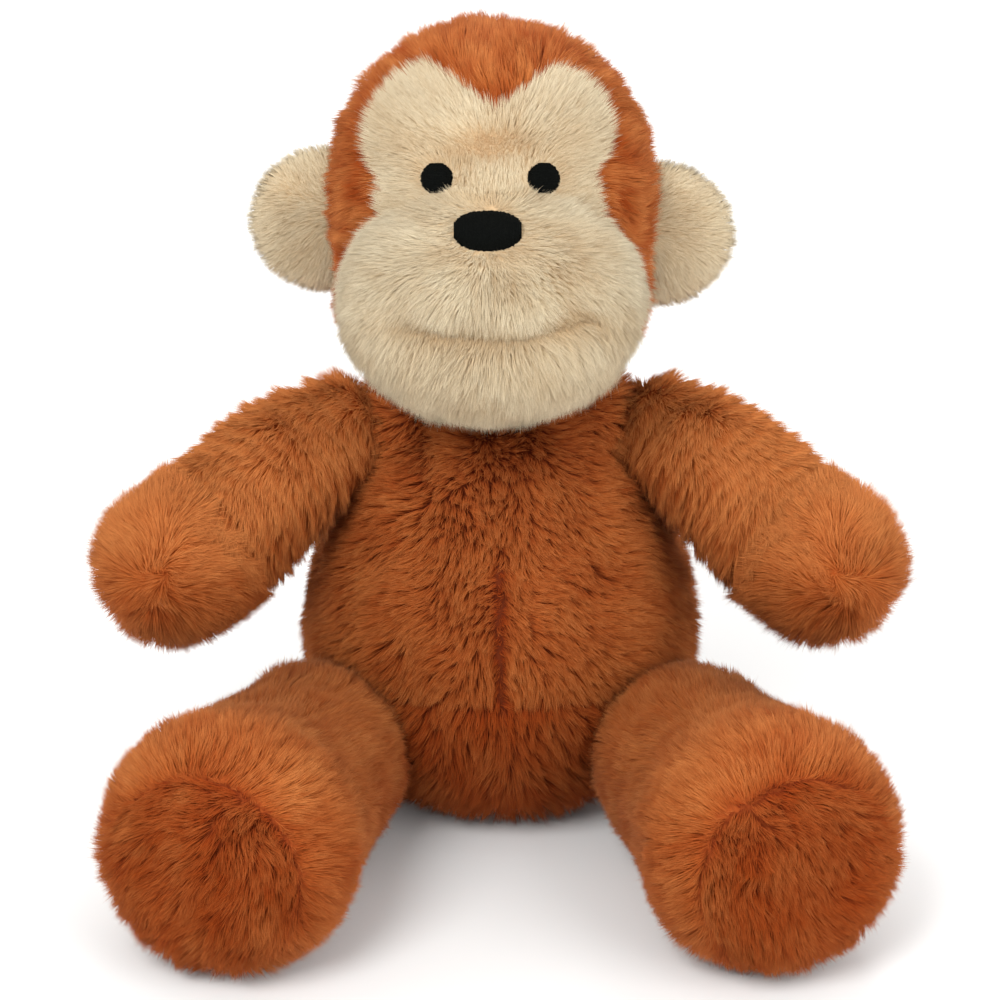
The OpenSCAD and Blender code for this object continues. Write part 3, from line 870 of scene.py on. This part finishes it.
    on_leg = dict(material=BROWN, body=f"leg_{side}", slot="fur_brown", fill=0.6)
    dress(leg, lambda p: leg_side_of(p * M), leg_flow, leg_style, DENS, 500 + k, {
        1: dict(name=f"leg_top_{side}_fur", replaces=[f"leg_top_{side}"], **on_leg),
        0: dict(name=f"leg_under_{side}_fur", replaces=[f"leg_under_{side}"], **on_leg),
        2: dict(name=f"sole_{side}_fur", replaces=[f"sole_{side}"], **on_leg),
    })


# ------------------------------------------------------------------ stitched eyes and nose
cloth = BVHTree.FromPolygons([Vector(v) for v in head.v], head.q.tolist())


def skin_point(x, up):
    """The head's cloth at x across and up along the face, coming in from the front, and the way out of it."""
    at = np.array([x, 0, 0]) + FACE_U * up
    hit, nor, i, d = cloth.ray_cast(Vector(at + FACE_F * 260), Vector(-FACE_F))
    return np.array(hit), np.array(nor)


def stitched(name, reach, centre_x, centre_up, half_w, half_h, dome, along, replaces, seed):
    """A pad of satin stitches: threads side by side over a domed pad. reach(v) gives the half length of the thread at offset v (-1..1)."""
    r = np.random.default_rng(seed)
    pitch, rad = 0.46, 0.30
    span, length = (half_w, half_h) if along == "u" else (half_h, half_w)
    rows = int(2 * span / pitch)
    out = unit(skin_point(centre_x, centre_up)[1] + 0.6 * FACE_F)
    verts, quads, base = [], [], 0
    for i in range(rows + 1):
        a = -span + 2 * span * i / rows
        l = length * reach(a / span) + r.uniform(-0.15, 0.2)
        if l < 0.5:
            continue
        m = 13
        pts = []
        for t in np.linspace(-1, 1, m):
            x, u = (a, t * l) if along == "u" else (t * l, a)
            h = dome * math.sqrt(max(0.0, 1 - abs(t) ** 3)) * (1 - 0.35 * (a / span) ** 2)
            pts.append(skin_point(centre_x + x, centre_up + u)[0] + out * (h + 0.2))
        pts = np.array(pts)
        tang = unit(np.gradient(pts, axis=0))
        sd = unit(np.cross(tang, out)); nn = np.cross(sd, tang)
        ring = 8
        ang = 2 * np.pi * np.arange(ring) / ring
        rr = rad * r.uniform(0.9, 1.12)
        tube = pts[:, None] + rr * (np.cos(ang)[None, :, None] * sd[:, None] + np.sin(ang)[None, :, None] * nn[:, None])
        verts.append(tube.reshape(-1, 3))
        for j in range(m - 1):
            for c in range(ring):
                d = (c + 1) % ring
                quads.append([base + j * ring + c, base + j * ring + d, base + (j + 1) * ring + d, base + (j + 1) * ring + c])
        for end in (0, m - 1):
            o = [base + end * ring + c for c in range(ring)]
            quads.append(o[::-1] if end else o)
        base += m * ring
    me = bpy.data.meshes.new(name)
    me.from_pydata(((np.vstack(verts) + [HEAD_X, 0, 0]) * 0.001).tolist(), [], quads)
    me.shade_smooth()
    me.materials.append(BLACK)
    ob = bpy.data.objects.new(name, me)
    bpy.context.scene.collection.objects.link(ob)
    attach(ob, "head"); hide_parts(replaces)
    return ob


def disc(v):
    return math.sqrt(max(0.0, 1 - v * v))


def nose_shape(v):
    return max(0.0, 1 - abs(v) ** 2.8) ** 0.5


eye_up = float(EYES[0] @ FACE_U) - 2.0
stitched("eye_left_stitches", disc, 15.8, eye_up, 4.8, 4.8, 2.4, "x", "eye_left", 11)
stitched("eye_right_stitches", disc, -16.7, eye_up, 4.8, 4.8, 2.4, "x", "eye_right", 12)
stitched("nose_stitches", nose_shape, -1.2, float(NOSE @ FACE_U) - 1.6, 10.4, 6.1, 3.6, "u", "nose", 13)

# ------------------------------------------------------------------ camera, floor and light
cam = bpy.data.objects.new("camera", bpy.data.cameras.new("camera"))
bpy.context.scene.collection.objects.link(cam)
back = Vector((0, -math.cos(LOOK), math.sin(LOOK)))
aim = Vector((0, 0, 0.0988))
cam.location = aim + back * 1.4
cam.rotation_euler = (-back).to_track_quat("-Z", "Y").to_euler()
cam.data.lens = 155.1
cam.data.sensor_width = 36
cam.data.clip_start, cam.data.clip_end = 0.05, 20
bpy.context.scene.camera = cam

me = bpy.data.meshes.new("floor")
R, seg = 3.0, 64
me.from_pydata([(-R, -R, 0), (R, -R, 0), (R, R, 0), (-R, R, 0)], [], [(0, 1, 2, 3)])
floor = bpy.data.objects.new("floor", me)
bpy.context.scene.collection.objects.link(floor)
m, nt, b = nodes_of("pale_floor")
b.inputs["Base Color"].default_value = (0.86, 0.86, 0.85, 1)
b.inputs["Roughness"].default_value = 0.9
me.materials.append(m)


def area(name, loc, target, size, power, colour=(1, 1, 1)):
    l = bpy.data.lights.new(name, "AREA")
    l.shape = "DISK"
    l.size = size
    l.energy = power
    l.color = colour
    o = bpy.data.objects.new(name, l)
    bpy.context.scene.collection.objects.link(o)
    o.location = loc
    o.rotation_euler = (Vector(target) - Vector(loc)).to_track_quat("-Z", "Y").to_euler()


area("key", (-0.7, -1.3, 1.5), (0, 0, 0.12), 1.0, 26)
area("fill", (1.1, -1.2, 0.9), (0, 0, 0.12), 1.2, 13)
area("back", (0.2, 1.2, 1.4), (0, 0, 0.15), 1.0, 12)
w = bpy.data.worlds.new("studio")
bpy.context.scene.world = w
w.use_nodes = True
w.node_tree.nodes["Background"].inputs[0].default_value = (1, 1, 1, 1)
w.node_tree.nodes["Background"].inputs[1].default_value = 0.85
